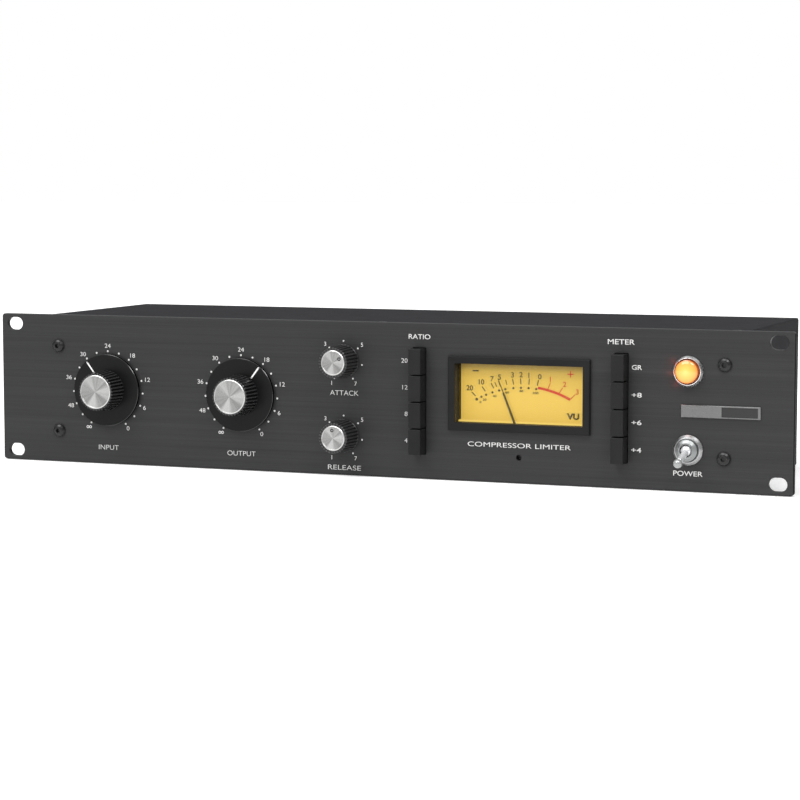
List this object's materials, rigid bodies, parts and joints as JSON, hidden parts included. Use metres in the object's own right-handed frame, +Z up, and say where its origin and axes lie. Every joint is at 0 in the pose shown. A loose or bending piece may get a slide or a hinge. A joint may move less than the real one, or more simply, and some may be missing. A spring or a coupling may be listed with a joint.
{
  "type": "rack compressor",
  "caption": "Two-unit rack-mounted audio compressor with level and timing knobs, push-button banks, a lit needle meter, a pilot lamp and a power toggle.",
  "frame": {"origin": "centre of the front panel's rear face, the plane that lies against the rack rails", "axes": "+X to the right seen from the front, +Y back into the rack, +Z up"},
  "size_m": [0.4826, 0.1661, 0.0882],
  "materials": {
    "panel_black": "brushed along its length, black anodised",
    "case_paint": "fine-grained satin black",
    "black_screw": "black oxide",
    "badge": "blank, satin with a dark field",
    "zinc": "bright zinc",
    "steel": "ground",
    "pot_metal": "plated",
    "knob_plastic": "satin moulded",
    "knob_inlay": "spun",
    "button_plastic": "fine texture",
    "switch_plastic": "moulded",
    "meter_frame": "satin",
    "meter_glass": "clear",
    "meter_shell": "moulded",
    "dial_face": "lit amber card",
    "needle_black": "matt black",
    "brass": "turned",
    "chrome": "polished",
    "amber_lens": "lit, translucent",
    "board_green": "solder mask",
    "transformer_tape": "wound polyester tape",
    "laminations": "varnished steel",
    "heatsink_black": "black anodised",
    "can_sleeve": "heat-shrunk sleeve",
    "cable_grey": "ribbon and wire insulation",
    "connector_black": "black plated die casting",
    "connector_plastic": "moulded"
  },
  "bodies": {
    "chassis": {"front_panel": "panel_black", "panel_screws": "black_screw", "badge_plate": "badge", "chassis_base": "case_paint", "top_cover": "case_paint", "cover_screws": "black_screw", "rear_panel": "case_paint", "case_screws": "zinc", "level_pots": "pot_metal", "time_pots": "pot_metal", "bushing_nuts": "zinc", "switch_banks": "switch_plastic", "meter_bezel": "meter_frame", "meter_window": "meter_glass", "meter_case": "meter_shell", "meter_back": "meter_shell", "meter_dial": "dial_face", "meter_movement": "steel", "lamp_bezel": "chrome", "lamp_jewel": "amber_lens", "lamp_holder": "zinc", "toggle_nut": "chrome", "toggle_body": "chrome", "circuit_boards": "board_green", "power_transformer": "transformer_tape", "audio_transformers": "laminations", "heatsink": "heatsink_black", "capacitors": "can_sleeve", "wiring_harness": "cable_grey", "xlr_input": "connector_black", "xlr_output": "connector_black", "trs_jacks": "connector_plastic", "iec_inlet": "connector_plastic"},
    "input_control": {"input_knob": "knob_plastic", "input_knob_cap": "knob_inlay", "input_shaft": "steel"},
    "output_control": {"output_knob": "knob_plastic", "output_knob_cap": "knob_inlay", "output_shaft": "steel"},
    "attack_control": {"attack_knob": "knob_plastic", "attack_knob_cap": "knob_inlay", "attack_shaft": "steel"},
    "release_control": {"release_knob": "knob_plastic", "release_knob_cap": "knob_inlay", "release_shaft": "steel"},
    "ratio_button_20_body": {"ratio_button_20": "button_plastic"},
    "ratio_button_12_body": {"ratio_button_12": "button_plastic"},
    "ratio_button_8_body": {"ratio_button_8": "button_plastic"},
    "ratio_button_4_body": {"ratio_button_4": "button_plastic"},
    "meter_button_gr_body": {"meter_button_gr": "button_plastic"},
    "meter_button_8_body": {"meter_button_8": "button_plastic"},
    "meter_button_6_body": {"meter_button_6": "button_plastic"},
    "meter_button_4_body": {"meter_button_4": "button_plastic"},
    "needle": {"meter_needle": "needle_black", "needle_arbor": "brass"},
    "toggle": {"toggle_lever": "chrome"},
    "zero_adjust": {"zero_screw": "black_screw"},
    "fuse_carrier": {"fuse_drawer": "connector_plastic", "fuse": "zinc"},
    "latch": {"xlr_latch": "connector_black"}
  },
  "joints": [
    {"name": "input_turn", "type": "hinge", "parent": "chassis", "child": "input_control", "pos_m": [-0.17, 0, 0], "axis": [0, 1, 0], "range_deg": [-112.5, 187.5]},
    {"name": "output_turn", "type": "hinge", "parent": "chassis", "child": "output_control", "pos_m": [-0.0831, 0, 0], "axis": [0, 1, 0], "range_deg": [-187.5, 112.5]},
    {"name": "attack_turn", "type": "hinge", "parent": "chassis", "child": "attack_control", "pos_m": [-0.0187, 0, 0.0214], "axis": [0, 1, 0], "range_deg": [-210, 90]},
    {"name": "release_turn", "type": "hinge", "parent": "chassis", "child": "release_control", "pos_m": [-0.0187, 0, -0.0214], "axis": [0, 1, 0], "range_deg": [-143, 157]},
    {"name": "ratio_20_press", "type": "slide", "parent": "chassis", "child": "ratio_button_20_body", "axis": [0, 1, 0], "range_m": [0, 0.004], "stiffness_N_per_m": 100, "springref_m": -0.002},
    {"name": "ratio_12_press", "type": "slide", "parent": "chassis", "child": "ratio_button_12_body", "axis": [0, 1, 0], "range_m": [0, 0.004], "stiffness_N_per_m": 100, "springref_m": -0.002},
    {"name": "ratio_8_press", "type": "slide", "parent": "chassis", "child": "ratio_button_8_body", "axis": [0, 1, 0], "range_m": [0, 0.004], "stiffness_N_per_m": 100, "springref_m": -0.002},
    {"name": "ratio_4_press", "type": "slide", "parent": "chassis", "child": "ratio_button_4_body", "axis": [0, 1, 0], "range_m": [0, 0.004], "stiffness_N_per_m": 100, "springref_m": -0.002},
    {"name": "meter_gr_press", "type": "slide", "parent": "chassis", "child": "meter_button_gr_body", "axis": [0, 1, 0], "range_m": [0, 0.004], "stiffness_N_per_m": 100, "springref_m": -0.002},
    {"name": "meter_8_press", "type": "slide", "parent": "chassis", "child": "meter_button_8_body", "axis": [0, 1, 0], "range_m": [0, 0.004], "stiffness_N_per_m": 100, "springref_m": -0.002},
    {"name": "meter_6_press", "type": "slide", "parent": "chassis", "child": "meter_button_6_body", "axis": [0, 1, 0], "range_m": [0, 0.004], "stiffness_N_per_m": 100, "springref_m": -0.002},
    {"name": "meter_4_press", "type": "slide", "parent": "chassis", "child": "meter_button_4_body", "axis": [0, 1, 0], "range_m": [0, 0.004], "stiffness_N_per_m": 100, "springref_m": -0.002},
    {"name": "needle_swing", "type": "hinge", "parent": "chassis", "child": "needle", "pos_m": [0.0867, 0.0046, -0.024], "axis": [0, 1, 0], "range_deg": [-26, 70], "stiffness_Nm_per_rad": 0.0005},
    {"name": "power_toggle", "type": "hinge", "parent": "chassis", "child": "toggle", "pos_m": [0.1832, -0.006, -0.0214], "axis": [-1, 0, 0], "range_deg": [0, 29.8]},
    {"name": "zero_adjust_turn", "type": "hinge", "parent": "chassis", "child": "zero_adjust", "pos_m": [0.0867, 0.001, -0.0297], "axis": [0, 1, 0], "range_deg": [-90, 90]},
    {"name": "fuse_drawer_pull", "type": "slide", "parent": "chassis", "child": "fuse_carrier", "axis": [0, 1, 0], "range_m": [0, 0.016]},
    {"name": "xlr_latch_press", "type": "slide", "parent": "chassis", "child": "latch", "axis": [0, 0, -1], "range_m": [0, 0.0012], "stiffness_N_per_m": 100, "springref_m": -0.001}
  ]
}
